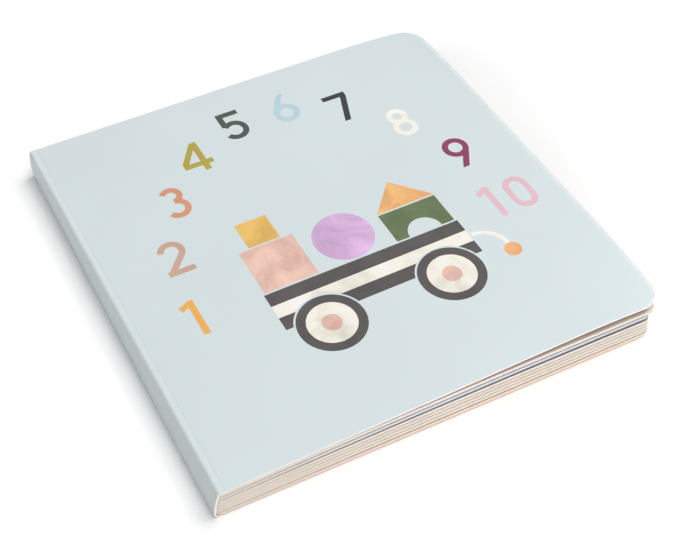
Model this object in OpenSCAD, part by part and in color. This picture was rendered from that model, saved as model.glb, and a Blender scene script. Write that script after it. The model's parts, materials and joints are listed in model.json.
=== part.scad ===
// Children's counting board book: bowed card leaves in a wrapped card cover.
// It lies on its back cover. +X runs from the spine to the fore edge, +Y from the foot
// to the head, +Z up. The origin is the middle of its footprint, on the surface it lies on.

/* [Book] */
// Width from the roundest part of the spine to the fore edge
book_w = 180; // [150:1:220]
// Height from the foot to the head
book_h = 180; // [150:1:220]
// Radius of the covers' rounded corners at the fore edge
corner_r = 9; // [5:0.5:20]

/* [Cover] */
// Thickness of the card that wraps the book
card_t = 0.8; // [0.5:0.05:1.2]
// Width of the flat strip between a fold of the spine and the crease beside it
crease_strip = 1.4; // [1:0.1:3]
// Radius of the half-round scored crease that a cover turns on
crease_r = 0.25; // [0.1:0.05:0.45]

/* [Spine] */
// Inner radius of the fold along the front of the spine
front_fold_r = 0.5; // [0.3:0.1:1.5]
// Inner radius of the rounder fold along the back of the spine
back_fold_r = 1.6; // [0.8:0.1:2.2]
// How far the front fold stands in from the roundest part of the spine
front_inset = 2.7; // [2:0.1:5]
// Thickness of the glue between the spine card and the folded backs of the leaves
glue_t = 0.2; // [0.1:0.05:0.4]

/* [Leaves] */
// Number of board leaves
leaf_count = 7; // [4:1:10]
// Thickness of a board leaf
leaf_t = 1.55; // [1:0.05:2.5]
// Radius of the leaves' rounded corners at the fore edge
leaf_corner_r = 4; // [2:0.5:12]
// How far the leaves' fore edge stands in from the covers'
leaf_inset = 2.6; // [0.5:0.1:4]
// Gap between neighbouring leaves at the gutter
leaf_gap = 0.1; // [0.05:0.01:0.2]
// Length of the solid fold between the centre of its round back and the end of the gap
gutter_web = 0.6; // [0.4:0.1:2]
// How much more each leaf bows up in the middle than the leaf below it
leaf_bow = 0.2; // [0:0.02:0.4]
// How much higher each leaf stands at the fore edge than the leaf below it
leaf_spread = 0.25; // [0:0.02:0.5]
// Number of upper leaves that stand apart from the rest
loose_leaves = 2; // [1:1:3]
// Extra gap under the loose leaves at the fore edge
loose_gap = 1; // [0:0.1:2]

/* [Printed numerals] */
// Thickness of the printed ink and its varnish
ink_t = 0.05; // [0.03:0.01:0.1]
// Height of a numeral
numeral_h = 17; // [12:0.5:20]
// Width of a numeral
numeral_w = 10.5; // [9:0.5:12]
// Width of a numeral's stroke
stroke = 2.5; // [2:0.1:3.6]
// Distance from the cover's edges to the middle of the nearest numerals
numeral_margin = 22; // [16:1:26]
// Height of both ends of the numeral arch above the foot
arch_foot = 70; // [60:1:80]

/* [Printed toy wagon] */
// Bare strip between neighbouring fields of colour
field_gap = 0.8; // [0.4:0.1:1.5]
// Width of the wagon's tray
tray_w = 82; // [70:1:90]
// Height of the wagon's tray
tray_h = 18; // [14:0.5:22]
// Height of the tray's lower edge above the foot
tray_foot = 50; // [45:1:56]
// Height of the pale band across the tray
band_h = 6; // [3:0.5:9]
// Radius of a wheel
wheel_r = 13; // [9:0.5:15]
// Width of a wheel's tyre
tyre_w = 3.6; // [2:0.2:5]
// Radius of a wheel's hub
hub_r = 3.8; // [2:0.2:5]
// Distance between the wheels' centres
wheel_base = 50; // [40:1:60]
// Side of the large block
block = 22; // [16:0.5:24]
// Side of the small block that stands on the large one
small_block = 13; // [8:0.5:15]
// Radius of the ball
ball_r = 12; // [8:0.5:13]
// Bare strip between the ball and the blocks beside it
load_gap = 4.7; // [2:0.1:8]
// Width of the bridge block and of the roof block on it
bridge_w = 25; // [20:0.5:27]
// Height of the bridge block
bridge_h = 15; // [12:0.5:18]
// Radius of the opening under the bridge block
bridge_r = 7; // [4:0.5:8]
// Height of the roof block
roof_h = 14; // [8:0.5:18]
// Radius of the bend in the pull cord
cord_bend = 10; // [6:0.5:12]
// Width of the pull cord
cord_w = 1.8; // [1:0.1:2.5]
// Radius of the bead at the end of the pull cord
bead_r = 3.4; // [2:0.1:4]

/* [Hidden] */
$fn = 64;
numerals = 10;
bow_steps = 16;
slice_steps = 6;
cut = 1;

spine_x = -book_w / 2;
fore_x = book_w / 2;

// Leaf stack at the gutter
leaf_pitch = leaf_t + leaf_gap;
ply_t = leaf_t / 2;
top_leaf = leaf_count - 1;
stack_top = card_t + leaf_count * leaf_pitch;
spine_t = stack_top + leaf_gap + card_t;

// Spine section: two folds joined by the straight line that touches both on their outer side
front_R = front_fold_r + card_t;
back_R = back_fold_r + card_t;
front_c = [spine_x + front_inset, spine_t - front_R];
back_c = [spine_x + back_R, back_R];
fold_span = front_c - back_c;
spine_turn = atan2(fold_span.y, fold_span.x) + acos((back_R - front_R) / norm(fold_span));
spine_out = [cos(spine_turn), sin(spine_turn)];
front_crease_x = front_c.x + crease_strip;
back_crease_x = back_c.x + crease_strip;

// Folded backs of the leaves, which meet the glue
leaf_fold_r = 0.45 * leaf_pitch;
glue_in = card_t + glue_t;
glue_front = front_c + (front_R - glue_in) * spine_out;
glue_back = back_c + (back_R - glue_in) * spine_out;
gutter_x = round_back_x(gap_z(top_leaf), leaf_fold_r) + gutter_web;

// The front cover rests along the tangent of the bowed top leaf at the gutter
top_lift = leaf_lift(top_leaf);
top_bow = leaf_bow * top_leaf;
rest_open = atan((top_lift + 4 * top_bow) / (fore_x - gutter_x));

// Printed area, measured from the foot and from the middle of the front cover
print_mid = (front_crease_x + fore_x) / 2;
arch_rx = (fore_x - front_crease_x) / 2 - numeral_margin;
arch_ry = book_h - numeral_margin - arch_foot;
bowl_r = (numeral_w - stroke) / 2;
upper_r = 0.46 * (numeral_h - stroke) / 2;
lower_r = 0.54 * (numeral_h - stroke) / 2;

// The wagon's load, a row centred on the tray: the large block, the ball and the bridge block
load_foot = tray_foot + tray_h + field_gap;
load_w = block + bridge_w + 2 * (ball_r + load_gap);
block_x = -load_w / 2;
ball_x = block_x + block + load_gap + ball_r;
bridge_x = load_w / 2 - bridge_w;

numeral_names = [for (n = [1:numerals]) str("numeral_", n)];
wagon_names = ["wagon_charcoal", "wagon_cream", "wagon_pink", "wagon_yellow",
               "wagon_lilac", "wagon_green", "wagon_orange"];
book_names = ["page_block", "spine_glue", "spine_wrap", "front_cover", "back_cover"];

// Height of the underside of leaf k at the gutter, counted from the bottom leaf, 0
function leaf_z(k) = card_t + leaf_gap + k * leaf_pitch;

// Middle of the gap under leaf k at the gutter
function gap_z(k) = leaf_z(k) - leaf_gap / 2;

// Height that leaf k gains from the gutter to the fore edge
function leaf_lift(k) = k * leaf_spread + (k >= leaf_count - loose_leaves ? loose_gap : 0);

// Rise of leaf k at share u of its width: a straight lift and a parabolic bow
function leaf_rise(k, u) = leaf_lift(k) * u + 4 * k * leaf_bow * u * (1 - u);

// Centre of a round back of radius r at height z, inside a spine fold of outer radius R about c
function in_fold_x(c, R, z, r) =
    c.x - sqrt(max(0, pow(max(0, R - glue_in - r), 2) - pow(z - c.y, 2)));

// Centre of a round back of radius r at height z, against the straight part of the spine
function on_straight_x(z, r) =
    glue_back.x - r / spine_out.x
    + (z - glue_back.y) * (glue_front.x - glue_back.x) / (glue_front.y - glue_back.y);

// Centre of a round back of radius r at height z that just meets the glue
function round_back_x(z, r) =
    z < glue_back.y ? in_fold_x(back_c, back_R, z, r)
    : z > glue_front.y ? in_fold_x(front_c, front_R, z, r)
    : on_straight_x(z, r);

// Where leaf k's two plies part to go round the folds above and below it
function ply_x(k) = round_back_x(leaf_z(k) + ply_t, leaf_fold_r);

// Outline of leaf k in section
function leaf_outline(k) =
    let (
        x = [for (i = [0:bow_steps]) gutter_x + (fore_x - gutter_x) * i / bow_steps],
        under = [for (i = [0:bow_steps]) [x[i], leaf_z(k) + leaf_rise(k, i / bow_steps)]],
        over = [for (i = [bow_steps:-1:0]) under[i] + [0, leaf_t]],
        plies = [ply_x(k), leaf_z(k)]
    )
    concat([plies], under, over, [plies + [0, leaf_t]]);

// Points of a pie slice from angle a to angle b
function slice(r, a, b) =
    let (turns = [for (i = [0:slice_steps]) a + (b - a) * i / slice_steps])
    concat([[0, 0]], [for (t = turns) r * [cos(t), sin(t)]]);

// Middle of numeral n on the arch, from its left end to its right end
function arch_place(n) =
    let (turn = 180 * (numerals - n) / (numerals - 1))
    [arch_rx * cos(turn), arch_foot + arch_ry * sin(turn)];

// A section drawn in X and Z, carried along the whole spine
module along_spine() {
    translate([0, book_h / 2, 0])
        rotate([90, 0, 0])
            linear_extrude(height = book_h)
                children();
}

// Plan of a cover or leaf from x to its fore edge, where its two corners are round
module board_plan(x, fore, r) {
    translate([x, -book_h / 2])
        square([fore - r - x, book_h]);
    translate([x, r - book_h / 2])
        square([fore - x, book_h - 2 * r]);
    for (side = [-1, 1])
        translate([fore - r, side * (book_h / 2 - r)])
            circle(r = r);
}

// The half of a disc about point c on the spine's outer side
module outer_half(c, r) {
    translate(c)
        intersection() {
            circle(r = r);
            translate([-r, -r])
                square([r, 2 * r]);
        }
}

// What lies inside the wrapped card, taken in by a given depth, out to a reach past the folds
module spine_inside(depth, reach) {
    polygon([
        front_c + [0, front_R - depth],
        front_c + (front_R - depth) * spine_out,
        back_c + (back_R - depth) * spine_out,
        back_c - [0, back_R - depth],
        [back_c.x + reach, depth],
        [back_c.x + reach, spine_t / 2],
        [front_c.x + reach, spine_t / 2],
        [front_c.x + reach, spine_t - depth]
    ]);
    outer_half(front_c, front_R - depth);
    outer_half(back_c, back_R - depth);
}

// A ply's round back of radius r at height z, joined to the leaves at the gutter
module round_back(z, r) {
    x = round_back_x(z, r);
    translate([x, z])
        circle(r = r);
    translate([x, z - r])
        square([gutter_x - x, 2 * r]);
}

// The scored crease along a cover's turning line
module crease(x, z) {
    translate([x, 0, z])
        rotate([90, 0, 0])
            cylinder(r = crease_r, h = book_h + 2 * cut, center = true);
}

// Turns what is drawn flat on the front cover to the cover's angle at rest
module on_front() {
    translate([front_crease_x, 0, spine_t])
        rotate([0, -rest_open, 0])
            translate([-front_crease_x, 0, -spine_t])
                children();
}

// A field of ink on the front cover, drawn from the middle of the foot
module ink() {
    on_front()
        translate([print_mid, -book_h / 2, spine_t])
            linear_extrude(height = ink_t)
                children();
}

module page_block() {
    color("#EADFD2")
        intersection() {
            along_spine() {
                for (k = [0:top_leaf])
                    polygon(leaf_outline(k));
                for (k = [1:top_leaf])
                    round_back(gap_z(k), leaf_fold_r);
                round_back(leaf_z(0) + ply_t / 2, ply_t / 2);
                round_back(leaf_z(top_leaf) + leaf_t - ply_t / 2, ply_t / 2);
            }
            linear_extrude(height = stack_top + top_lift + 2 * top_bow + cut)
                board_plan(spine_x, fore_x - leaf_inset, leaf_corner_r);
        }
}

module spine_glue() {
    color("#E7DCC4")
        along_spine()
            polygon([
                glue_front,
                glue_back,
                glue_back + glue_t * spine_out,
                glue_front + glue_t * spine_out
            ]);
}

module spine_wrap() {
    color("#D2DDDF")
        difference() {
            along_spine()
                difference() {
                    spine_inside(0, crease_strip);
                    spine_inside(card_t, crease_strip + cut);
                }
            crease(front_crease_x, spine_t);
            crease(back_crease_x, 0);
        }
}

module front_cover() {
    color("#DAE5E7")
        on_front()
            difference() {
                translate([0, 0, spine_t - card_t])
                    linear_extrude(height = card_t)
                        board_plan(front_crease_x, fore_x, corner_r);
                crease(front_crease_x, spine_t);
            }
}

module back_cover() {
    color("#DAE5E7")
        difference() {
            linear_extrude(height = card_t)
                board_plan(back_crease_x, fore_x, corner_r);
            crease(back_crease_x, 0);
        }
}

// Straight stroke of a numeral from point a to point b
module bar(a, b) {
    side = stroke / 2 * [a.y - b.y, b.x - a.x] / norm(b - a);
    polygon([a - side, b - side, b + side, a + side]);
}

// Round stroke of a numeral about point c, from angle a to angle b
module bend(c, r, a, b) {
    translate(c)
        intersection() {
            ring(r + stroke / 2, r - stroke / 2);
            polygon(slice(2 * (r + stroke), a, b));
        }
}

module ring(outer, inner) {
    difference() {
        circle(r = outer);
        circle(r = inner);
    }
}

// Keeps a numeral's slanting ends within its height
module trimmed() {
    intersection() {
        children();
        square([3 * numeral_w, numeral_h], center = true);
    }
}

module one() {
    flag = [-0.42 * numeral_w, 0.32 * numeral_h];
    trimmed() {
        bar([0, -numeral_h / 2], [0, numeral_h / 2]);
        bar(flag, [0, (numeral_h - stroke) / 2]);
    }
}

module two() {
    foot_y = (stroke - numeral_h) / 2;
    head = [0, (numeral_h - numeral_w) / 2];
    neck_turn = -40;
    tip_turn = 170;
    neck = head + bowl_r * [cos(neck_turn), sin(neck_turn)];
    bend(head, bowl_r, neck_turn, tip_turn);
    trimmed()
        bar(neck, [(stroke - numeral_w) / 2, foot_y]);
    bar([-numeral_w / 2, foot_y], [numeral_w / 2, foot_y]);
}

module three() {
    tip_turn = 150;
    bend([0, (numeral_h - stroke) / 2 - upper_r], upper_r, -90, tip_turn);
    bend([0, (stroke - numeral_h) / 2 + lower_r], lower_r, -tip_turn, 90);
}

module four() {
    stem_x = 0.2 * numeral_w;
    arm_y = -0.24 * numeral_h;
    arm_left = [-0.62 * numeral_w, arm_y];
    bar([stem_x, -numeral_h / 2], [stem_x, numeral_h / 2]);
    bar(arm_left, [0.55 * numeral_w, arm_y]);
    intersection() {
        bar([stem_x, numeral_h / 2], arm_left);
        translate([arm_left.x, arm_y - stroke / 2])
            square([stem_x - arm_left.x, numeral_h / 2 - arm_y + stroke / 2]);
    }
}

module five() {
    top_y = (numeral_h - stroke) / 2;
    left_x = -0.34 * numeral_w;
    belly_r = 1.08 * bowl_r;
    belly = [-0.04 * numeral_w, (stroke - numeral_h) / 2 + belly_r];
    neck_turn = 140;
    tip_turn = -150;
    bar([left_x - stroke / 2, top_y], [0.44 * numeral_w, top_y]);
    bar([left_x, top_y], [left_x, belly.y + 0.8 * bowl_r]);
    bend(belly, belly_r, tip_turn, neck_turn);
}

module six() {
    belly_r = 1.05 * bowl_r;
    belly = [0, (stroke - numeral_h) / 2 + belly_r];
    stem_turn = 60;
    start = belly + belly_r * [cos(stem_turn + 90), sin(stem_turn + 90)];
    translate(belly)
        ring(belly_r + stroke / 2, belly_r - stroke / 2);
    trimmed()
        bar(start, start + (numeral_h - start.y) * [cos(stem_turn), sin(stem_turn)]);
}

// The right side of the leg meets the lower right corner of the bar
module seven() {
    top_y = (numeral_h - stroke) / 2;
    corner = [numeral_w / 2, numeral_h / 2 - stroke];
    foot = [-0.2 * numeral_w, -numeral_h / 2 - stroke];
    reach = corner - foot;
    lean = atan2(reach.y, reach.x) + asin(stroke / 2 / norm(reach));
    leg = sqrt(pow(norm(reach), 2) - pow(stroke / 2, 2));
    bar([-numeral_w / 2, top_y], [numeral_w / 2, top_y]);
    trimmed()
        bar(foot, foot + leg * [cos(lean), sin(lean)]);
}

module eight() {
    translate([0, (numeral_h - stroke) / 2 - upper_r])
        ring(upper_r + stroke / 2, upper_r - stroke / 2);
    translate([0, (stroke - numeral_h) / 2 + lower_r])
        ring(lower_r + stroke / 2, lower_r - stroke / 2);
}

module zero() {
    straight = numeral_h - numeral_w;
    difference() {
        stadium(numeral_w / 2, straight);
        stadium(numeral_w / 2 - stroke, straight);
    }
}

// Upright slot shape with round ends of radius r
module stadium(r, straight) {
    square([2 * r, straight], center = true);
    for (end = [-1, 1])
        translate([0, end * straight / 2])
            circle(r = r);
}

// Numeral n about its own middle; ten is a one and a zero side by side
module glyph(n) {
    one_x = -0.62 * numeral_w;
    zero_x = 0.5 * numeral_w;
    if (n == 1) one();
    if (n == 2) two();
    if (n == 3) three();
    if (n == 4) four();
    if (n == 5) five();
    if (n == 6) six();
    if (n == 7) seven();
    if (n == 8) eight();
    if (n == 9) rotate(180) six();
    if (n == 10) {
        translate([one_x, 0])
            one();
        translate([zero_x, 0])
            zero();
    }
}

module numeral(n) {
    tints = ["#F9AF4B", "#D9A88F", "#E99276", "#C1AB33", "#445446",
             "#BAD8EC", "#323650", "#FFF6E0", "#923667", "#F3BCC8"];
    color(tints[n - 1])
        ink()
            translate(arch_place(n))
                glyph(n);
}

module wheel_places() {
    for (side = [-1, 1])
        translate([side * wheel_base / 2, tray_foot - wheel_r / 3])
            children();
}

module tray_band() {
    translate([-tray_w / 2, tray_foot + (tray_h - band_h) / 2])
        square([tray_w, band_h]);
}

module wagon_charcoal() {
    color("#4B4646")
        ink() {
            difference() {
                translate([-tray_w / 2, tray_foot])
                    square([tray_w, tray_h]);
                tray_band();
                wheel_places()
                    circle(r = wheel_r + field_gap);
            }
            wheel_places()
                ring(wheel_r, wheel_r - tyre_w);
        }
}

module wagon_cream() {
    bend_c = [tray_w / 2 + field_gap, tray_foot + tray_h / 2 - cord_bend];
    color("#FDF7EA")
        ink() {
            difference() {
                tray_band();
                wheel_places()
                    circle(r = wheel_r + field_gap);
            }
            wheel_places()
                ring(wheel_r - tyre_w, hub_r);
            translate(bend_c)
                intersection() {
                    ring(cord_bend + cord_w / 2, cord_bend - cord_w / 2);
                    square(2 * cord_bend);
                }
        }
}

module wagon_pink() {
    color("#EFC4B4")
        ink() {
            translate([block_x, load_foot])
                square(block);
            wheel_places()
                circle(r = hub_r);
        }
}

module wagon_yellow() {
    color("#F0C067")
        ink()
            translate([block_x + (block - small_block) / 2, load_foot + block + field_gap])
                square(small_block);
}

module wagon_lilac() {
    color("#DDB5DF")
        ink()
            translate([ball_x, load_foot + ball_r])
                circle(r = ball_r);
}

module wagon_green() {
    color("#5E7048")
        ink()
            translate([bridge_x, load_foot])
                difference() {
                    square([bridge_w, bridge_h]);
                    translate([bridge_w / 2, 0])
                        circle(r = bridge_r);
                }
}

module wagon_orange() {
    bead = [tray_w / 2 + field_gap + cord_bend, tray_foot + tray_h / 2 - cord_bend - bead_r];
    color("#F6B877")
        ink() {
            translate([bridge_x, load_foot + bridge_h + field_gap])
                polygon([[0, 0], [bridge_w, 0], [bridge_w / 2, roof_h]]);
            translate(bead)
                circle(r = bead_r);
        }
}

page_block();
spine_glue();
spine_wrap();
front_cover();
back_cover();
for (n = [1:numerals])
    numeral(n);
wagon_charcoal();
wagon_cream();
wagon_pink();
wagon_yellow();
wagon_lilac();
wagon_green();
wagon_orange();
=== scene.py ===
"""Looks of a square counting board book: folded page sheets in a wrapped and creased cover card,
with printed inks on the front. Everything is in metres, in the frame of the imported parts."""
import json
import math
import bpy
import numpy as np
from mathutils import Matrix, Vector
from types import SimpleNamespace


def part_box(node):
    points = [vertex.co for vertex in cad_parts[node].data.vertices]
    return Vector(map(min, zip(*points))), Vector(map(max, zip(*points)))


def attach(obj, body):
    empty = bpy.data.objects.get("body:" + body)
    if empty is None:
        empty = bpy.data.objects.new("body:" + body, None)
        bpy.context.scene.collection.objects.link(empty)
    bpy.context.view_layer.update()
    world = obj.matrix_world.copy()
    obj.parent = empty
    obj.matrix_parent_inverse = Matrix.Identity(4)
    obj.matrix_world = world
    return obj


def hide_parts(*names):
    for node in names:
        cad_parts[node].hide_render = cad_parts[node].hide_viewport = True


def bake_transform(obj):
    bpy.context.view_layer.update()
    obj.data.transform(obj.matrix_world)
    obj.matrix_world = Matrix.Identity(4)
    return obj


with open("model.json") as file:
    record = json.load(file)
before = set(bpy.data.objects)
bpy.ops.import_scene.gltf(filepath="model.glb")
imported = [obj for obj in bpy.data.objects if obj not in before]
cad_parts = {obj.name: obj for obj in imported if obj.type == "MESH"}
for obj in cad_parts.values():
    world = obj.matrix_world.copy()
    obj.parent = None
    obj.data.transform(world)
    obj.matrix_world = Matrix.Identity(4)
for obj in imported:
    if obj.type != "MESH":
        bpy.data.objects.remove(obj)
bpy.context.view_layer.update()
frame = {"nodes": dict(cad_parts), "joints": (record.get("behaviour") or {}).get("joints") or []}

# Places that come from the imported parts
MM = 0.001
joints = {joint["name"]: joint for joint in frame["joints"]}
FRONT_CREASE_X, _, SPINE_T = joints["front_hinge"]["pos_m"]
BACK_CREASE_X = joints["back_hinge"]["pos_m"][0]
SPINE_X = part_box("spine_wrap")[0].x
FORE_X, HALF_H, CARD_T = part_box("back_cover")[1]

# Sizes of the card, the spine and the leaves
CORNER_R = 9 * MM
CREASE_STRIP = 1.4 * MM
FRONT_FOLD_R = 0.5 * MM
BACK_FOLD_R = 1.6 * MM
GLUE_T = 0.2 * MM
LEAF_COUNT = 7
TOP_LEAF = LEAF_COUNT - 1
LEAF_T = 1.55 * MM
LEAF_GAP = 0.1 * MM
LEAF_PITCH = LEAF_T + LEAF_GAP
PLY_T = LEAF_T / 2
LEAF_CORNER_R = 4 * MM
LEAF_INSET = 2.6 * MM
FOLD_SHARE = 0.45
LEAF_FOLD_R = FOLD_SHARE * LEAF_PITCH
GUTTER_WEB = 0.6 * MM
LEAF_BOW = 0.2 * MM
LEAF_SPREAD = 0.25 * MM
LOOSE_LEAVES = 2
LOOSE_GAP = 1.0 * MM

# How the used book has settled: a bulging spine that is tucked in at the head, leaves out of line, and a
# front cover whose fore corners droop and whose foot sags
SPINE_BULGE = 0.35 * MM
BACK_TUCK = 1.7 * MM
BACK_TIGHTER = 1.3 * MM
LEAF_OUT = MM * np.array([0.9, 0.5, 0.1, -0.3, -0.7, -1.1, 0.5])
CORNER_DROOP = 2.2 * MM
FOOT_SAG = 0.35 * MM
DROOP_REACH = 40 * MM

# Fine shape of the card's borders, creases and folds. The tip of a ply's round back keeps a share of the
# ply's thickness.
CARD_RIM = 0.04 * MM
PLY_RIM = 0.1 * MM
GLUE_LINE = 0.012 * MM
CREASE_REACH = 1.0 * MM
CREASE_DIP = 0.13 * MM
CREASE_SPREAD = 0.32 * MM
FOLD_SQUEEZE = 0.03 * MM
BACK_TIP = 0.1

# Rubbed print: the widths of its paler lines, and their strengths beside that on a border. The paler band
# along the spine's front fold is partly rubbed print and partly painted highlight.
RUB_WIDTH = 0.2 * MM
FOLD_RUB_AND_HIGHLIGHT_WIDTH = 2 * RUB_WIDTH
CREASE_RUB = 0.25
FOLD_RUB_AND_HIGHLIGHT = 0.7

# Grids of the surfaces: close places over a rim, counted in rims from the border, and numbers of places
RIM_PLACES = np.array([1.5, 1.0, 0.6, 0.3, 0.0])
GRID_DIGITS = 8
STRAIGHT_STEPS = 10
CORNER_STEPS = 15
ACROSS_STEPS = 30
ACROSS_END = 0.985
CREASE_STEPS = 33
BACK_FOLD_STEPS = 22
SIDE_STEPS = 26
FRONT_FOLD_STEPS = 18
STRIP_STEPS = 4
GUTTER_STEPS = 5
SHEET_FOLD_STEPS = 13
PLY_BACK_STEPS = 7

# Directions in a section: straight down and straight up
DOWN = 1.5 * math.pi
UP = 0.5 * math.pi

# Camera fitted to the photograph's edges, and the width of its image
IMAGE_W = 680
FOCAL_PX = 1266.3
SENSOR_W = 36.0
CLIP_START = 0.01
CAMERA_AT = Vector((-0.17441, -0.29567, 0.35626))
CAMERA_FORWARD = Vector((0.3551, 0.5827, -0.7310))
CAMERA_RIGHT = Vector((0.8787, -0.4749, 0.0483))

# Light: an even pale room and soft round lamps, each with its direction, size and share of the light
ROOM_LIGHT = 0.2
LAMP_DISTANCE = 3.0
LAMPS = {
    "key": (Vector((0.68, 0.06, 1.5)), 1.9, 0.51),
    "front": (Vector((0.15, -0.65, 1.5)), 1.2, 0.255),
    "left": (Vector((-1.0, -0.1, 0.8)), 1.4, 0.03),
    "low_fill": (Vector((-0.28, -1.0, 0.24)), 0.7, 0.32),
}

# Floor: its white for the light, and its brightness as the camera sees it: from the spine's side to the
# fore side, more behind the head as painted light over the low fill's shadow there, and with a glow that
# rises between two distances from the book
FLOOR_SIZE = 8.0
FLOOR_DROP = 0.05 * MM
FLOOR_WHITE = 0.92
FLOOR_SEEN = (1.1, 1.04)
SEEN_REACH = 0.25
FLOOR_BEHIND_PAINTED_LIGHT = 1.1
BEHIND_REACH = 0.012
FAR_FLOOR = (0.14, 1.1)

# Finishes: features to the metre of the noises, ranges of roughness, and depth and strength of the relief
COVER_CLOUD = 16
COVER_GRAIN = 1500
RUB_PATCHES = 420
INK_CLOUD = 55
LAMINATE_ROUGH = (0.44, 0.58)
LAMINATE_RELIEF = (0.012 * MM, 0.35)
PAGE_CLOUD = 28
PAGE_TOOTH = 1100
PAGE_ROUGH = (0.55, 0.72)
PAGE_RELIEF = (0.015 * MM, 0.4)
BOARD_LAYERS = 7000
LAYER_STRETCH = (0.06, 0.06, 1.0)
BOARD_FUZZ = 2600
BOARD_FLECKS = 900
BOARD_ROUGH = (0.78, 0.95)
BOARD_RELIEF = (0.04 * MM, 0.5)
GLUE_RIPPLE = 700
GLUE_ROUGH = (0.25, 0.6)
GLUE_RELIEF = (0.06 * MM, 0.6)
NUMERAL_WASH = 0.12
WAGON_WASH = 0.5

# Tints, as sRGB codes. A core's second tint is the one at the gutter. Pages run from the back cover to the
# front one, leaves from the bottom up.
COVER_TINT = "#DAE5E7"
# Paler tint of rubbed rims; along the spine's front fold it is partly painted highlight.
RUB_AND_HIGHLIGHT_TINT = "#F0F3F3"
# The back cover's core tint is pinker and darker than the front's: painted shade of the floor's contact
# shadow on its cut edge.
CORE_TINTS = {"front": ("#FFFDF9", "#EAE6E1"), "spine": ("#F0E7DC",), "back": ("#E0CDC3",)}
BACKING_TINT = "#E9DFD0"
GLUE_TINT = "#E7DCC4"
GUTTER_EDGE_TINT = "#DDD3CA"
GUTTER_PAGE_TINT = "#A9A199"
# Inside of the front cover: a brown print darkened as painted shade, for the gap seen under the cover.
INSIDE_SHADE_TINT = "#B9977C"
PAGE_TINTS = ["#EFDDD2", "#BFA388", "#E2DDD0", "#E8D9CC", "#E6D6C2", "#9E9FA5", "#9AA2AE", "#EADDD1"]
COOL_PAGES = (5, 6)
EDGE_TINTS = ["#FBE6D5", "#F3E8DC", "#F1E6DB", "#EDE1D7", "#FAF0E5", "#E3E6EC", "#FAF3EC"]
NUMERAL_TINTS = [
    "#F4B558", "#CEAA95", "#DB9879", "#B6A444", "#3C4B42",
    "#BED9E4", "#131A29", "#FFFDF2", "#872D5B", "#ECC1CC",
]
WAGON_TINTS = {
    "charcoal": "#4B4646",
    "cream": "#FDF7EA",
    "pink": "#EFC4B4",
    "yellow": "#F0C067",
    "lilac": "#DDB5DF",
    "green": "#5E7048",
    "orange": "#F6B877",
}


def leaf_z(leaf):
    """Height of a leaf's underside at the gutter: the card, a gap, and the leaves below with their gaps."""
    return CARD_T + LEAF_GAP + leaf * LEAF_PITCH


def leaf_rise(leaf, x):
    """Rise of a leaf at x: a straight lift to the fore edge and a parabolic bow between."""
    share = np.clip((x - GUTTER_X) / (FORE_X - GUTTER_X), 0, 1)
    lift = leaf * LEAF_SPREAD + (LOOSE_GAP if leaf >= LEAF_COUNT - LOOSE_LEAVES else 0)
    return lift * share + 4 * leaf * LEAF_BOW * share * (1 - share)


def spine_section(y):
    """The spine's section at each place along it: two folds and the line that touches both on their outer
    side, with the glue's inner line. The back fold draws in and tightens from the foot to the head. R is
    a fold's outer radius, c its centre, and out the direction away from the spine's straight side."""
    to_head = 0.5 + 0.5 * y / HALF_H
    back_R = (BACK_FOLD_R - BACK_TIGHTER * to_head) + CARD_T
    front_R = FRONT_FOLD_R + CARD_T + 0 * y
    front_c = np.stack([FRONT_CREASE_X - CREASE_STRIP + 0 * y, SPINE_T - front_R])
    back_c = np.stack([SPINE_X + BACK_TUCK * to_head + back_R, back_R])
    across = front_c - back_c
    turn = np.arctan2(across[1], across[0]) + np.arccos((back_R - front_R) / np.hypot(*across))
    out = np.stack([np.cos(turn), np.sin(turn)])
    return SimpleNamespace(
        back_R=back_R,
        front_R=front_R,
        back_c=back_c,
        front_c=front_c,
        turn=turn,
        out=out,
        glue_front=front_c + (front_R - CARD_T - GLUE_T) * out,
        glue_back=back_c + (back_R - CARD_T - GLUE_T) * out,
    )


def spine_bow(share):
    """How far the straight part of the spine bulges out at a share of its length: a parabola."""
    return SPINE_BULGE * 4 * share * (1 - share)


def fold_back_x(z, r, y):
    """Centre of a folded back of radius r at height z: it meets the glue on the spine's long side, or lies
    within the rounder fold at the spine's foot."""
    at = spine_section(y)
    share = (z - at.glue_back[1]) / (at.glue_front[1] - at.glue_back[1])
    on_side = at.glue_back[0] + share * (at.glue_front[0] - at.glue_back[0])
    on_side = on_side + (r - spine_bow(np.clip(share, 0, 1))) / -at.out[0]
    reach = np.maximum(0, at.back_R - CARD_T - GLUE_T - r) ** 2 - (z - at.back_c[1]) ** 2
    in_fold = at.back_c[0] - np.sqrt(np.maximum(0, reach))
    return np.where(share < 0, in_fold, on_side)


# The gutter lies past the top leaf's fold at the foot. The front cover rests along the tangent of the bowed
# top leaf there.
GUTTER_X = fold_back_x(leaf_z(TOP_LEAF) - LEAF_GAP / 2, LEAF_FOLD_R, -HALF_H) + GUTTER_WEB
TOP_LIFT = TOP_LEAF * LEAF_SPREAD + LOOSE_GAP
REST_OPEN = math.atan((TOP_LIFT + 4 * TOP_LEAF * LEAF_BOW) / (FORE_X - GUTTER_X))


def linear(code):
    """Linear colour of an sRGB code, each channel through the sRGB curve, with full alpha."""
    c = np.array([int(code[i:i + 2], 16) for i in (1, 3, 5)]) / 255
    return (*np.where(c <= 0.04045, c / 12.92, ((c + 0.055) / 1.055) ** 2.4), 1.0)


def shade(code, factor):
    """A tint made darker or lighter by a factor on its linear channels, up to white."""
    return (*np.minimum(np.array(linear(code)[:3]) * factor, 1), 1.0)


def plug(tree, socket, value):
    """Links an output to a socket, or sets the socket's value."""
    if isinstance(value, bpy.types.NodeSocket):
        tree.links.new(value, socket)
    else:
        socket.default_value = value


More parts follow.
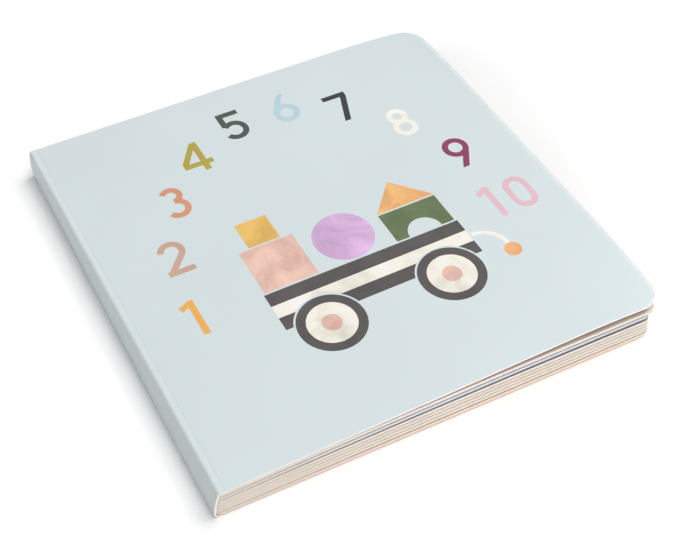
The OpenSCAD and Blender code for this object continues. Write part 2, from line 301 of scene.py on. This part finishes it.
def add(tree, kind, values, **settings):
    """Adds one node with its settings and the values or links of its sockets."""
    made = tree.nodes.new(kind)
    for key, value in settings.items():
        setattr(made, key, value)
    for key, value in values.items():
        plug(tree, made.inputs[key], value)
    return made


def noise(tree, vector, scale, detail=3.0, rough=0.55, warp=0.0):
    """Cloudy noise from 0 to 1 with a given number of features to the metre."""
    values = {"Vector": vector, "Scale": scale, "Detail": detail, "Roughness": rough, "Distortion": warp}
    return add(tree, "ShaderNodeTexNoise", values).outputs["Fac"]


def ramp(tree, factor, stops):
    """Colour ramp through stops of place and colour."""
    made = add(tree, "ShaderNodeValToRGB", {"Fac": factor})
    elements = made.color_ramp.elements
    while len(elements) < len(stops):
        elements.new(1.0)
    for element, (place, colour) in zip(elements, stops):
        element.position = place
        element.color = colour
    return made.outputs["Color"]


def span(tree, factor, low, high, from_low=0.0, from_high=1.0):
    """Maps a factor's range to another range."""
    values = {"Value": factor, "From Min": from_low, "From Max": from_high, "To Min": low, "To Max": high}
    return add(tree, "ShaderNodeMapRange", values).outputs["Result"]


def times(tree, a, b):
    """Product of two numbers."""
    made = add(tree, "ShaderNodeMath", {0: a, 1: b}, operation="MULTIPLY")
    return made.outputs["Value"]


def mix(tree, factor, a, b):
    """Two colours mixed by a factor. The node's sockets are picked by number, because those for colours
    have the same names as those for numbers."""
    made = add(tree, "ShaderNodeMix", {0: factor, 6: a, 7: b}, data_type="RGBA")
    return made.outputs[2]


def bump(tree, height, distance, strength):
    """Surface normal tilted by a height of the given depth in metres."""
    values = {"Height": height, "Distance": distance, "Strength": strength}
    return add(tree, "ShaderNodeBump", values).outputs["Normal"]


def new_material(name, **constants):
    """A material with one Principled shader; constants are sockets that are the same all over."""
    made = bpy.data.materials.new(name)
    made.use_nodes = True
    tree = made.node_tree
    tree.nodes.clear()
    shader = add(tree, "ShaderNodeBsdfPrincipled", {})
    add(tree, "ShaderNodeOutputMaterial", {"Surface": shader.outputs["BSDF"]})
    for key, value in constants.items():
        shader.inputs[key].default_value = value
    place = add(tree, "ShaderNodeTexCoord", {}).outputs["Object"]
    return made, tree, shader, place


def laminated_print(name, tint):
    """Matt laminated print: an even tint with a faint cloud, fine grain and peel, and paler rubbed rims;
    along the spine's front fold the paler band is partly painted highlight.
    """
    made, tree, shader, place = new_material(name, IOR=1.48)
    cloud = noise(tree, place, COVER_CLOUD, 2)
    grain = noise(tree, place, COVER_GRAIN, 3)
    wear_and_highlight = add(tree, "ShaderNodeAttribute", {}, attribute_name="wear_and_highlight").outputs["Fac"]
    patches = span(tree, noise(tree, place, RUB_PATCHES, 4), 0.15, 1.0, 0.3, 0.62)
    rub_and_highlight = times(tree, wear_and_highlight, patches)
    tone = ramp(tree, cloud, [(0.3, shade(tint, 0.982)), (0.7, shade(tint, 1.012))])
    tone = mix(tree, span(tree, grain, 0.0, 0.045), tone, shade(tint, 0.72))
    plug(tree, shader.inputs["Base Color"], mix(tree, rub_and_highlight, tone, linear(RUB_AND_HIGHLIGHT_TINT)))
    plug(tree, shader.inputs["Roughness"], span(tree, grain, *LAMINATE_ROUGH))
    plug(tree, shader.inputs["Normal"], bump(tree, grain, *LAMINATE_RELIEF))
    return made


def towards_gutter(tree, place, tone, tint):
    """A tone that turns into the gutter's tint from the middle of a leaf to its fold."""
    across = add(tree, "ShaderNodeSeparateXYZ", {"Vector": place}).outputs["X"]
    return mix(tree, span(tree, across, 1.0, 0.0, SPINE_X, 0.0), tone, linear(tint))


def page_print(name, tint, gutter_tint=None):
    """Printed page face: a flat wash with soft clouds and the tooth of the board."""
    made, tree, shader, place = new_material(name, IOR=1.46)
    cloud = noise(tree, place, PAGE_CLOUD, 3, warp=0.4)
    tooth = noise(tree, place, PAGE_TOOTH, 4)
    tone = ramp(tree, cloud, [(0.28, shade(tint, 0.95)), (0.72, shade(tint, 1.04))])
    if gutter_tint:
        tone = towards_gutter(tree, place, tone, gutter_tint)
    tone = mix(tree, span(tree, tooth, 0.0, 0.09), tone, shade(tint, 0.7))
    plug(tree, shader.inputs["Base Color"], tone)
    plug(tree, shader.inputs["Roughness"], span(tree, tooth, *PAGE_ROUGH))
    plug(tree, shader.inputs["Normal"], bump(tree, tooth, *PAGE_RELIEF))
    return made


def cut_edge(name, tint, gutter_tint=None):
    """Die-cut board: thin fibre layers along the leaf, a little fuzz and fine darker flecks."""
    made, tree, shader, place = new_material(name, IOR=1.4)
    stretched = add(tree, "ShaderNodeMapping", {"Vector": place, "Scale": LAYER_STRETCH})
    layers = noise(tree, stretched.outputs["Vector"], BOARD_LAYERS, 4)
    fuzz = noise(tree, place, BOARD_FUZZ, 4, 0.7)
    tone = ramp(tree, layers, [(0.28, shade(tint, 0.86)), (0.5, linear(tint)), (0.75, shade(tint, 1.06))])
    flecks = ramp(tree, noise(tree, place, BOARD_FLECKS, 2), [(0.66, (0, 0, 0, 1)), (0.78, (1, 1, 1, 1))])
    tone = mix(tree, times(tree, flecks, 0.3), tone, shade(tint, 0.62))
    if gutter_tint:
        tone = towards_gutter(tree, place, tone, gutter_tint)
    plug(tree, shader.inputs["Base Color"], tone)
    plug(tree, shader.inputs["Roughness"], span(tree, fuzz, *BOARD_ROUGH))
    plug(tree, shader.inputs["Normal"], bump(tree, mix(tree, 0.5, fuzz, layers), *BOARD_RELIEF))
    return made


def glue_bead():
    """Dried spine glue: a pale amber film with ripples and dull and shiny patches."""
    made, tree, shader, place = new_material("spine_glue_film", IOR=1.5)
    ripple = noise(tree, place, GLUE_RIPPLE, 3, warp=0.8)
    tone = ramp(tree, ripple, [(0.3, shade(GLUE_TINT, 0.8)), (0.7, shade(GLUE_TINT, 1.08))])
    plug(tree, shader.inputs["Base Color"], tone)
    plug(tree, shader.inputs["Roughness"], span(tree, ripple, *GLUE_ROUGH))
    plug(tree, shader.inputs["Normal"], bump(tree, ripple, *GLUE_RELIEF))
    return made


def printed_ink(name, tint, wash):
    """Printed ink under the matt laminate: a tint with a watercolour wash of the given depth, in which
    pigment pools in darker clouds, and the same fine grain as the cover."""
    made, tree, shader, place = new_material(name, IOR=1.48)
    cloud = noise(tree, place, INK_CLOUD, 5, 0.6, 0.7)
    grain = noise(tree, place, COVER_GRAIN, 3)
    pooled = shade(tint, 1 - 0.55 * wash)
    thinned = shade(tint, 1 + 0.6 * wash)
    tone = ramp(tree, cloud, [(0.3, pooled), (0.5, linear(tint)), (0.72, thinned)])
    tone = mix(tree, span(tree, grain, 0.0, 0.12), tone, shade(tint, 0.6))
    plug(tree, shader.inputs["Base Color"], tone)
    plug(tree, shader.inputs["Roughness"], span(tree, grain, *LAMINATE_ROUGH))
    plug(tree, shader.inputs["Normal"], bump(tree, grain, *LAMINATE_RELIEF))
    return made


def rows_across(rim, r):
    """Places along the spine direction: even steps, and close steps round corners of radius r and over
    the rims."""
    straight = HALF_H - r
    arc = straight + r * np.sin(np.linspace(0, math.pi / 2, CORNER_STEPS))
    close = HALF_H - rim * RIM_PLACES
    upper = np.concatenate([np.linspace(0, straight, STRAIGHT_STEPS), arc, close])
    return np.unique(np.round(np.concatenate([-upper, upper]), GRID_DIGITS))


def across_shares(rim, width):
    """Shares of a width from the spine's side to the fore edge: even steps, then close ones at the rim."""
    close = 1 - RIM_PLACES * rim / width
    return np.concatenate([np.linspace(0, ACROSS_END, ACROSS_STEPS), close])[:, None]


def border_gap(x, y, fore, r):
    """Distance from a point of a leaf or cover to its foot, head or fore edge: that of a rectangle with
    two round corners at the fore edge."""
    past_x = x - (fore - r)
    past_y = np.abs(y) - (HALF_H - r)
    outside = np.hypot(np.maximum(past_x, 0), np.maximum(past_y, 0))
    return r - outside - np.minimum(np.maximum(past_x, past_y), 0)


def fore_end(y, fore, r):
    """Where a leaf or cover ends at y: its fore edge, drawn in round its corners."""
    past = np.clip(np.abs(y) - (HALF_H - r), 0, r)
    return fore - r + np.sqrt(r ** 2 - past ** 2)


def leaf_fore(leaf):
    """Fore edge of a leaf: inside the covers', and a little out of line with its neighbours."""
    return FORE_X - LEAF_INSET + LEAF_OUT[leaf]


def rim_loss(gap, rim):
    """How much a face sinks at a distance from its border: a quarter round over the last rim."""
    inside = np.clip(rim - gap, 0, rim)
    return rim - np.sqrt(rim ** 2 - inside ** 2)


def bell(distance, width):
    """A bell curve across a line: 1 on it, falling off with the square of distance over width."""
    return np.exp(-(distance / width) ** 2)


def shell(name, x, y, z, half, finishes, edge_of_row=None, wear_and_highlight=None):
    """A card from its middle surface. The grid's first axis runs along the section and its second along
    the spine. Each point moves both ways along the section's normal by half the thickness, and a strip
    round the border closes the two faces. Finishes are the outer face's, the inner face's and the edges';
    edge_of_row picks an edge finish for each step of the section. The border's edges are sharp."""
    rows, columns = x.shape
    count = rows * columns
    run_x = np.gradient(x, axis=0)
    run_z = np.gradient(z, axis=0)
    run = np.hypot(run_x, run_z)
    off_x = -run_z / run * half
    off_z = run_x / run * half
    along = np.broadcast_to(y, x.shape)
    face_out = np.stack([x + off_x, along, z + off_z], -1).reshape(-1, 3)
    face_in = np.stack([x - off_x, along, z - off_z], -1).reshape(-1, 3)
    out = np.arange(count).reshape(rows, columns)
    back = out + count
    quads = [
        np.stack([out[:-1, :-1], out[1:, :-1], out[1:, 1:], out[:-1, 1:]], -1),
        np.stack([back[:-1, :-1], back[:-1, 1:], back[1:, 1:], back[1:, :-1]], -1),
        np.stack([out[0, :-1], out[0, 1:], back[0, 1:], back[0, :-1]], -1),
        np.stack([out[-1, :-1], back[-1, :-1], back[-1, 1:], out[-1, 1:]], -1),
        np.stack([out[:-1, 0], back[:-1, 0], back[1:, 0], out[1:, 0]], -1),
        np.stack([out[:-1, -1], out[1:, -1], back[1:, -1], back[:-1, -1]], -1),
    ]
    first_edge = 2
    edges = first_edge + (np.zeros(rows - 1, int) if edge_of_row is None else edge_of_row)
    slots = [
        np.zeros((rows - 1) * (columns - 1), int),
        np.ones((rows - 1) * (columns - 1), int),
        np.full(columns - 1, edges[0]),
        np.full(columns - 1, edges[-1]),
        edges,
        edges,
    ]
    points = np.concatenate([face_out, face_in])
    polygons = np.concatenate([quad.reshape(-1, 4) for quad in quads])
    mesh = bpy.data.meshes.new(name)
    mesh.from_pydata(points, [], polygons)
    slot = np.concatenate(slots).astype(np.int32)
    mesh.polygons.foreach_set("material_index", slot)
    rim = np.ones((rows, columns), bool)
    rim[1:-1, 1:-1] = False
    on_rim = np.tile(rim.reshape(-1), 2)
    ends = np.empty(2 * len(mesh.edges), np.int32)
    mesh.edges.foreach_get("vertices", ends)
    ends = ends.reshape(-1, 2)
    along_rim = on_rim[ends].all(1) & (ends[:, 0] // count == ends[:, 1] // count)
    grid_corners = [0, columns - 1, (rows - 1) * columns, count - 1]
    at_corner = np.isin(ends % count, grid_corners).all(1)
    mesh.edges.foreach_set("use_edge_sharp", along_rim | at_corner)
    mesh.polygons.foreach_set("use_smooth", np.ones(len(slot), bool))
    if wear_and_highlight is not None:
        wear_and_highlight_layer = mesh.attributes.new("wear_and_highlight", "FLOAT", "POINT")
        wear_and_highlight_layer.data.foreach_set("value", np.tile(wear_and_highlight.reshape(-1), 2).astype(np.float32))
    for finish in finishes:
        mesh.materials.append(finish)
    piece = bpy.data.objects.new(name, mesh)
    bpy.context.scene.collection.objects.link(piece)
    return piece


def cover_card(name, start, on_back, finishes):
    """A cover from its crease band to the fore edge. The front one is drawn flat, its two fore corners
    droop along parabolas, its foot sags a little more and more from the crease to the fore edge, and it
    is turned about its crease to its angle at rest. The back one is flat, with its face down."""
    y = rows_across(CARD_RIM, CORNER_R)
    share = across_shares(CARD_RIM, FORE_X - start)
    x = start + share * (fore_end(y, FORE_X, CORNER_R) - start)
    gap = border_gap(x, y, FORE_X, CORNER_R)
    half = CARD_T / 2 - rim_loss(gap, CARD_RIM)
    wear_and_highlight = bell(gap, RUB_WIDTH)
    if on_back:
        flat = np.full_like(x, CARD_T / 2)
        return shell(name, x[::-1], y, flat, half[::-1], finishes, wear_and_highlight=wear_and_highlight[::-1])
    near_fore = np.clip(1 - (FORE_X - x) / DROOP_REACH, 0, 1)
    near_end = np.clip(1 - (HALF_H - np.abs(y)) / DROOP_REACH, 0, 1)
    near_foot = np.where(y < 0, near_end, 0)
    droop = CORNER_DROOP * near_fore ** 2 * near_end ** 2
    sag = FOOT_SAG * share * near_foot ** 2
    depth = CARD_T / 2 + droop + sag
    from_crease = x - FRONT_CREASE_X
    turned_x = FRONT_CREASE_X + from_crease * math.cos(REST_OPEN) + depth * math.sin(REST_OPEN)
    turned_z = SPINE_T + from_crease * math.sin(REST_OPEN) - depth * math.cos(REST_OPEN)
    return shell(name, turned_x, y, turned_z, half, finishes, wear_and_highlight=wear_and_highlight)


def crease_card(name, crease_x, face_z, face_up, turn, finishes):
    """The creased strip between the spine and a cover: flat on the spine's side, turned to the cover's
    angle on the other, with a bell-shaped dip along the crease."""
    y = rows_across(CARD_RIM, CORNER_R)
    reach = np.linspace(-CREASE_REACH, CREASE_REACH, CREASE_STEPS)
    lean = np.where(reach > 0, turn, 0.0)
    depth = CARD_T / 2 + CREASE_DIP * bell(reach, CREASE_SPREAD)
    line_x = crease_x + reach * np.cos(lean) + depth * np.sin(lean)
    line_z = face_z + reach * np.sin(lean) - face_up * depth * np.cos(lean)
    order = slice(None) if face_up > 0 else slice(None, None, -1)
    x = np.repeat(line_x[order, None], len(y), 1)
    z = np.repeat(line_z[order, None], len(y), 1)
    ends = np.broadcast_to(HALF_H - np.abs(y), x.shape)
    half = CARD_T / 2 - rim_loss(ends, CARD_RIM)
    wear_and_highlight = np.maximum(bell(ends, RUB_WIDTH), CREASE_RUB * bell(reach[order, None], RUB_WIDTH))
    return shell(name, x, y, z, half, finishes, wear_and_highlight=wear_and_highlight)


def spine_line(at, depth):
    """The spine's line at a depth under its outer face, as grids of x and z with section steps by places
    along the spine: round the back fold, up the bulging side and round the front fold."""
    back_turn = DOWN + np.linspace(0, 1, BACK_FOLD_STEPS)[:, None] * (at.turn - DOWN)
    front_turn = at.turn + np.linspace(0, 1, FRONT_FOLD_STEPS)[:, None] * (UP - at.turn)
    share = np.linspace(0, 1, SIDE_STEPS)[1:-1, None]
    lines = []
    for axis, wave in enumerate((np.cos, np.sin)):
        side_start = at.back_c[axis] + (at.back_R - depth) * at.out[axis]
        side_run = at.front_c[axis] - at.back_c[axis] + (at.front_R - at.back_R) * at.out[axis]
        lines.append(np.concatenate([
            at.back_c[axis] + (at.back_R - depth) * wave(back_turn),
            side_start + share * side_run + spine_bow(share) * at.out[axis],
            at.front_c[axis] + (at.front_R - depth) * wave(front_turn),
        ]))
    return lines


def spine_card(finishes):
    """The wrapped spine card, with the two strips that lead from its folds to the creases."""
    y = rows_across(CARD_RIM, CORNER_R)
    at = spine_section(y)
    x, z = spine_line(at, CARD_T / 2)
    steps = np.linspace(1, 0, STRIP_STEPS, endpoint=False)[:, None]
    back_strip = at.back_c[0] + steps * (BACK_CREASE_X - CREASE_REACH - at.back_c[0])
    front_strip = at.front_c[0] + steps[::-1] * (FRONT_CREASE_X - CREASE_REACH - at.front_c[0])
    level = np.ones_like(back_strip)
    x = np.concatenate([back_strip, x, front_strip])
    z = np.concatenate([level * CARD_T / 2, z, level * (SPINE_T - CARD_T / 2)])
    ends = np.broadcast_to(HALF_H - np.abs(y), x.shape)
    half = CARD_T / 2 - rim_loss(ends, CARD_RIM)
    from_fold = np.hypot(x - at.front_c[0], z - SPINE_T)
    # The paler band along the front fold is partly rubbed print and partly painted highlight.
    wear_and_highlight = np.maximum(bell(ends, RUB_WIDTH), FOLD_RUB_AND_HIGHLIGHT * bell(from_fold, FOLD_RUB_AND_HIGHLIGHT_WIDTH))
    return shell("spine_card", x, y, z, half, finishes, wear_and_highlight=wear_and_highlight)


def glue_film(finishes):
    """The glue on the inner side of the spine card, between its folds."""
    y = rows_across(CARD_RIM, CORNER_R)
    x, z = spine_line(spine_section(y), CARD_T + GLUE_T / 2)
    side = slice(BACK_FOLD_STEPS - 1, BACK_FOLD_STEPS + SIDE_STEPS - 1)
    half = np.full_like(x[side], GLUE_T / 2)
    return shell("spine_glue_film", x[side], y, z[side], half, finishes)


def ply_steps(start, y, leaf):
    """Places across a ply from its fold to its leaf's fore edge: close steps at the gutter and over the
    rim."""
    near = np.linspace(start, GUTTER_X, GUTTER_STEPS, endpoint=False)
    share = across_shares(PLY_RIM, FORE_X - GUTTER_X)
    end = fore_end(y, leaf_fore(leaf), LEAF_CORNER_R)
    return np.concatenate([near, GUTTER_X + share * (end - GUTTER_X)])


def page_sheet(spread, finishes):
    """A spread as one folded sheet: its lower half is the upper ply of the leaf below, its upper half the
    lower ply of the leaf above, and a half-round fold at the gutter joins them. The halves draw together
    a little as they come to the fold."""
    y = rows_across(PLY_RIM, LEAF_CORNER_R)
    fold_z = leaf_z(spread) - LEAF_GAP / 2
    fold_x = fold_back_x(fold_z, LEAF_FOLD_R, y)
    half_ply = PLY_T / 2 - GLUE_LINE
    half_fold = half_ply - FOLD_SQUEEZE
    fold_r = LEAF_FOLD_R - half_fold
    rows_x, rows_z, rows_half = [], [], []
    for leaf, side in ((spread - 1, -1), (spread, 1)):
        x = ply_steps(fold_x, y, leaf)
        share = np.clip((x - fold_x) / (GUTTER_X - fold_x), 0, 1)
        gap = border_gap(x, y, leaf_fore(leaf), LEAF_CORNER_R)
        half = half_fold + share * (half_ply - half_fold) - rim_loss(gap, PLY_RIM)
        z = fold_z + side * (fold_r + share * (LEAF_GAP / 2 + PLY_T / 2 - fold_r)) + leaf_rise(leaf, x)
        rows_x.append(x[::side])
        rows_z.append(z[::side])
        rows_half.append(half[::side])
    turn = np.linspace(DOWN, UP, SHEET_FOLD_STEPS)[1:-1, None]
    rows_x.insert(1, fold_x + fold_r * np.cos(turn) * np.ones_like(y))
    rows_z.insert(1, fold_z + fold_r * np.sin(turn) * np.ones_like(y))
    rows_half.insert(1, half_fold - rim_loss(HALF_H - np.abs(y), PLY_RIM) * np.ones_like(turn))
    edge_of_row = np.repeat([0, 1], len(rows_x[0]) + len(turn) // 2)
    x, z, half = (np.concatenate(rows) for rows in (rows_x, rows_z, rows_half))
    return shell(f"page_sheet_{spread}", x, y, z, half, finishes, edge_of_row=edge_of_row)


def end_ply(name, leaf, on_top, finishes):
    """The outermost ply of the first or last leaf, with a half-round back at the spine."""
    y = rows_across(PLY_RIM, LEAF_CORNER_R)
    half_ply = PLY_T / 2 - GLUE_LINE
    level = leaf_z(leaf) + (LEAF_T - PLY_T / 2 if on_top else PLY_T / 2)
    start = fold_back_x(level, PLY_T / 2, y) - PLY_T / 2
    turn = np.linspace(0, math.pi / 2, PLY_BACK_STEPS)[:-1, None]
    back = start + half_ply * (1 - np.cos(turn))
    x = np.concatenate([back, ply_steps(start + half_ply, y, leaf)])
    from_back = np.clip(half_ply - (x - start), 0, half_ply)
    gap = border_gap(x, y, leaf_fore(leaf), LEAF_CORNER_R)
    half = np.sqrt(half_ply ** 2 - from_back ** 2) - rim_loss(gap, PLY_RIM)
    half = np.maximum(half, BACK_TIP * half_ply)
    z = level + leaf_rise(leaf, x)
    if on_top:
        return shell(name, x[::-1], y, z[::-1], half[::-1], finishes)
    return shell(name, x, y, z, half, finishes)


def dress(node, finish):
    """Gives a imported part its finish."""
    part = frame["nodes"][node]
    part.data.materials.clear()
    part.data.materials.append(finish)


def make_book():
    """Builds the cover card, the page sheets and the inks, and ties each to its part."""
    outside = laminated_print("cover_print", COVER_TINT)
    cores = {card: cut_edge(f"{card}_core", *tints) for card, tints in CORE_TINTS.items()}
    backing = cut_edge("board_backing", BACKING_TINT)
    pages = [page_print(f"page_print_{i}", tint, GUTTER_PAGE_TINT if i in COOL_PAGES else None)
             for i, tint in enumerate(PAGE_TINTS)]
    edges = [cut_edge(f"leaf_edge_{leaf}", tint, GUTTER_EDGE_TINT) for leaf, tint in enumerate(EDGE_TINTS)]
    # The inside of the front cover is partly painted shade: its dark brown darkens the gap under the cover.
    inside = page_print("front_inside_painted_shade", INSIDE_SHADE_TINT)

    front_finishes = [outside, inside, cores["front"]]
    # The back cover's cut edges take the darker core tint, which is painted shade from the floor.
    back_finishes = [outside, pages[0], cores["back"]]
    front = cover_card("front_cover_card", FRONT_CREASE_X + CREASE_REACH, False, front_finishes)
    back = cover_card("back_cover_card", BACK_CREASE_X + CREASE_REACH, True, back_finishes)
    spine = spine_card([outside, backing, cores["spine"]])
    for piece, body, node in (
            (front, "front_cover", "front_cover"),
            (back, "back_cover", "back_cover"),
            (spine, "book_block", "spine_wrap")):
        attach(piece, body)
        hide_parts(node)

    for side, crease_x, face_z, face_up, turn, finishes in (
            ("front", FRONT_CREASE_X, SPINE_T, 1, REST_OPEN, front_finishes),
            ("back", BACK_CREASE_X, 0.0, -1, 0.0, back_finishes)):
        crease = crease_card(f"{side}_crease_card", crease_x, face_z, face_up, turn, finishes)
        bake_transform(crease)

    sheets = [page_sheet(s, [backing, pages[s], edges[s - 1], edges[s]]) for s in range(1, LEAF_COUNT)]
    sheets.append(end_ply("last_page_ply", 0, False, [backing, pages[0], edges[0]]))
    sheets.append(end_ply("first_page_ply", TOP_LEAF, True, [backing, pages[-1], edges[-1]]))
    for sheet in sheets:
        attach(sheet, "book_block")
        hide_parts("page_block")

    glue = glue_film([glue_bead()] * 3)
    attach(glue, "book_block")
    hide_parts("spine_glue")

    for number, tint in enumerate(NUMERAL_TINTS, 1):
        dress(f"numeral_{number}", printed_ink(f"numeral_ink_{number}", tint, NUMERAL_WASH))
    for ink, tint in WAGON_TINTS.items():
        dress(f"wagon_{ink}", printed_ink(f"wagon_ink_{ink}", tint, WAGON_WASH))


def make_camera():
    """The photograph's camera: its place, its line of sight, its level and a lens of the fitted length."""
    data = bpy.data.cameras.new("camera")
    data.sensor_width = SENSOR_W
    data.lens = FOCAL_PX * SENSOR_W / IMAGE_W
    data.clip_start = CLIP_START
    camera = bpy.data.objects.new("camera", data)
    camera.location = CAMERA_AT
    sight = CAMERA_FORWARD.to_track_quat("-Z", "Y")
    level = (sight @ Vector((1, 0, 0))).rotation_difference(CAMERA_RIGHT)
    camera.rotation_mode = "QUATERNION"
    camera.rotation_quaternion = level @ sight
    bpy.context.scene.collection.objects.link(camera)
    bpy.context.scene.camera = camera


def seen_rays(tree):
    """1 for rays that show the stage to the camera, straight or by way of gloss or glass."""
    path = add(tree, "ShaderNodeLightPath", {}).outputs
    either = add(tree, "ShaderNodeMath", {0: path["Is Camera Ray"], 1: path["Is Glossy Ray"]},
                 operation="ADD")
    seen = add(tree, "ShaderNodeMath", {0: either.outputs[0], 1: path["Is Transmission Ray"]},
               operation="ADD", use_clamp=True)
    return seen.outputs[0]


def make_room():
    """An even room light, which the camera sees as white."""
    world = bpy.data.worlds.new("room")
    bpy.context.scene.world = world
    world.use_nodes = True
    tree = world.node_tree
    tree.nodes.clear()
    strength = span(tree, seen_rays(tree), ROOM_LIGHT, 1.0)
    sky = add(tree, "ShaderNodeBackground", {"Color": (1, 1, 1, 1), "Strength": strength})
    add(tree, "ShaderNodeOutputWorld", {"Surface": sky.outputs["Background"]})


def make_lamps():
    """The soft lamps. A lamp's power is its share times the squares of pi and of its distance, so that a
    white face turned to it has that share as its brightness."""
    for name, (place, size, share) in LAMPS.items():
        light = bpy.data.lights.new(name, "AREA")
        light.shape = "DISK"
        light.size = size
        light.energy = share * math.pi ** 2 * LAMP_DISTANCE ** 2
        lamp = bpy.data.objects.new(name, light)
        lamp.location = place.normalized() * LAMP_DISTANCE
        lamp.rotation_euler = (-place).to_track_quat("-Z", "Y").to_euler()
        bpy.context.scene.collection.objects.link(lamp)


def floor_paint():
    """White paint that keeps the shadow, except behind the head, where the camera sees it brighter still:
    painted light over the low fill's shadow. The camera sees it brighter than the light does, and far from
    the book it glows up to plain white."""
    paint = bpy.data.materials.new("floor_white")
    paint.use_nodes = True
    tree = paint.node_tree
    tree.nodes.clear()
    seen = seen_rays(tree)
    place = add(tree, "ShaderNodeTexCoord", {}).outputs["Object"]
    across, along, _ = add(tree, "ShaderNodeSeparateXYZ", {"Vector": place}).outputs
    # Behind the head the seen floor is brighter: painted light over the low fill's shadow.
    shown = times(tree, span(tree, across, *FLOOR_SEEN, -SEEN_REACH, SEEN_REACH),
                  span(tree, along, 1.0, FLOOR_BEHIND_PAINTED_LIGHT, HALF_H, HALF_H + BEHIND_REACH))
    white = add(tree, "ShaderNodeMix", {"Factor": seen, "A": FLOOR_WHITE, "B": shown}).outputs["Result"]
    matt = add(tree, "ShaderNodeBsdfDiffuse", {"Color": white})
    away = add(tree, "ShaderNodeVectorMath", {0: place}, operation="LENGTH").outputs["Value"]
    far = span(tree, away, 0.0, 1.0, *FAR_FLOOR)
    glow = add(tree, "ShaderNodeEmission", {"Strength": times(tree, seen, far)})
    both = add(tree, "ShaderNodeAddShader", {0: matt.outputs[0], 1: glow.outputs[0]})
    add(tree, "ShaderNodeOutputMaterial", {"Surface": both.outputs[0]})
    return paint


def make_floor():
    """A square floor just under the book."""
    half = FLOOR_SIZE / 2
    corners = [(x, y, -FLOOR_DROP) for x, y in ((-half, -half), (half, -half), (half, half), (-half, half))]
    mesh = bpy.data.meshes.new("floor")
    mesh.from_pydata(corners, [], [(0, 1, 2, 3)])
    mesh.materials.append(floor_paint())
    floor = bpy.data.objects.new("floor", mesh)
    bpy.context.scene.collection.objects.link(floor)


make_camera()
make_room()
make_lamps()
make_floor()
make_book()
bpy.context.scene.view_settings.view_transform = "Standard"
